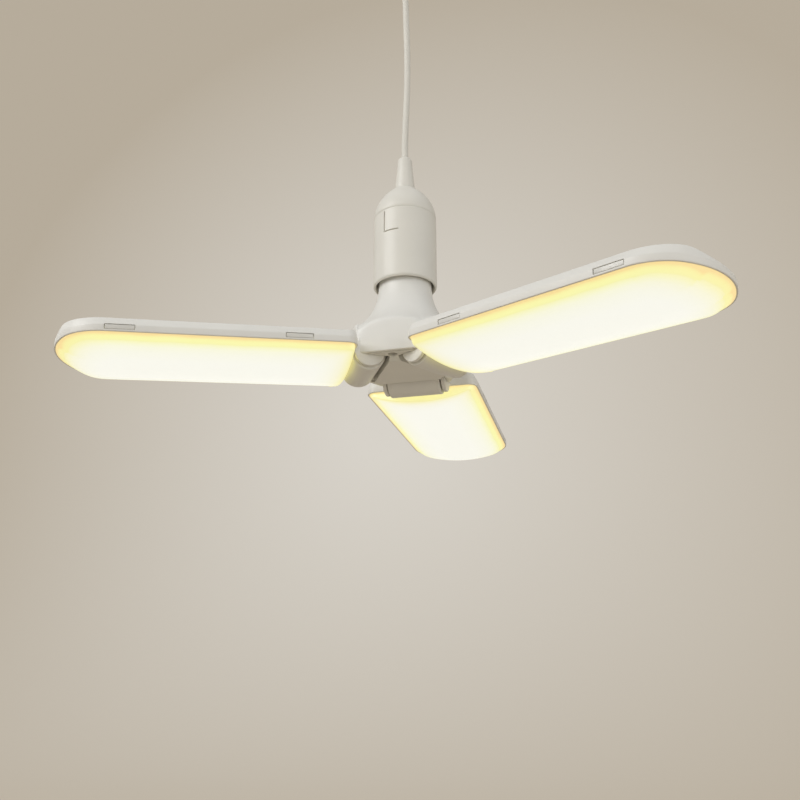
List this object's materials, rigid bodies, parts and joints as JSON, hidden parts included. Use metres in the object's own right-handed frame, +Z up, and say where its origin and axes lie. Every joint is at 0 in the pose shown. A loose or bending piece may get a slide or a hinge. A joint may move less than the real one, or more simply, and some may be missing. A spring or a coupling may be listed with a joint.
{
  "type": "folding panel lamp",
  "caption": "Hanging lamp with long folding light panels on a bell-shaped screw-in hub, in a lampholder on a cord from a ceiling rose.",
  "frame": {"origin": "middle of the ceiling bracket's upper face, between its two ceiling screw holes", "axes": "+Z up along the cord towards the ceiling; +Y towards panel 1; +X completes the frame, and panels 2 and 3 follow panel 1 every 120 degrees counter-clockwise seen from above"},
  "size_m": [0.3384, 0.3026, 0.3643],
  "materials": {
    "white_plastic": "satin moulded",
    "holder_plastic": "satin moulded",
    "opal_diffuser": "opal, softly glossy",
    "cord_sheath": "matte sheath",
    "core_insulation": "matte",
    "lead_insulation": "matte",
    "ceramic_core": "matte",
    "brass_sheet": "plain",
    "nickel_cap": "nickel plated",
    "cap_glass": "gloss",
    "zinc_steel": "zinc plated",
    "pin_steel": "ground",
    "washer_plastic": "matte",
    "terminal_plastic": "matte",
    "light_board": "white solder mask",
    "light_chip": "phosphor",
    "driver_board": "solder mask",
    "capacitor_sleeve": "shrink sleeve",
    "choke_winding": "enamelled wire",
    "black_epoxy": "matte"
  },
  "bodies": {
    "fixture": {"ceiling_bracket": "zinc_steel", "ceiling_rose": "white_plastic", "rose_screws": "zinc_steel", "cord_grip": "white_plastic", "terminal_block": "terminal_plastic", "cord": "cord_sheath", "cord_cores": "core_insulation", "strain_relief": "holder_plastic", "holder_dome": "holder_plastic", "holder_sleeve": "holder_plastic", "holder_core": "ceramic_core", "holder_shell": "brass_sheet", "holder_contact": "brass_sheet", "holder_terminals": "zinc_steel"},
    "contact": {"cap_contact": "nickel_cap"},
    "lamp": {"cap_insulator": "cap_glass", "cap_shell": "nickel_cap", "hub_housing": "white_plastic", "hub_cover": "white_plastic", "hub_screws": "zinc_steel", "driver_board": "driver_board", "driver_capacitor": "capacitor_sleeve", "driver_choke": "choke_winding", "driver_bridge": "black_epoxy", "cap_leads": "lead_insulation", "panel_leads": "lead_insulation", "hinge_pin_1": "pin_steel", "hinge_pin_2": "pin_steel", "hinge_pin_3": "pin_steel", "hinge_washers_1": "washer_plastic", "hinge_washers_2": "washer_plastic", "hinge_washers_3": "washer_plastic"},
    "panel_1": {"casing_1": "white_plastic", "diffuser_1": "opal_diffuser", "light_board_1": "light_board", "light_chips_1": "light_chip", "casing_screws_1": "zinc_steel"},
    "panel_2": {"casing_2": "white_plastic", "diffuser_2": "opal_diffuser", "light_board_2": "light_board", "light_chips_2": "light_chip", "casing_screws_2": "zinc_steel"},
    "panel_3": {"casing_3": "white_plastic", "diffuser_3": "opal_diffuser", "light_board_3": "light_board", "light_chips_3": "light_chip", "casing_screws_3": "zinc_steel"}
  },
  "joints": [
    {"name": "contact_feed", "type": "slide", "parent": "fixture", "child": "contact", "axis": [0, 0, -1], "range_m": [0, 0.0146]},
    {"name": "lamp_turn", "type": "hinge", "parent": "contact", "child": "lamp", "pos_m": [0, 0, -0.35], "axis": [0, 0, -1], "range_deg": [0, 1440]},
    {"name": "panel_fold_1", "type": "hinge", "parent": "lamp", "child": "panel_1", "pos_m": [0, 0.0252, -0.34712], "axis": [-1, 0, 0], "range_deg": [-3, 87]},
    {"name": "panel_fold_2", "type": "hinge", "parent": "lamp", "child": "panel_2", "pos_m": [-0.02182, -0.0126, -0.34712], "axis": [0.5, -0.866, 0], "range_deg": [-3, 87]},
    {"name": "panel_fold_3", "type": "hinge", "parent": "lamp", "child": "panel_3", "pos_m": [0.02182, -0.0126, -0.34712], "axis": [0.5, 0.866, 0], "range_deg": [-3, 87]}
  ],
  "couplings": [
    {"joint": "contact_feed", "follows": "lamp_turn", "m_per_rad": 0.00057757}
  ]
}
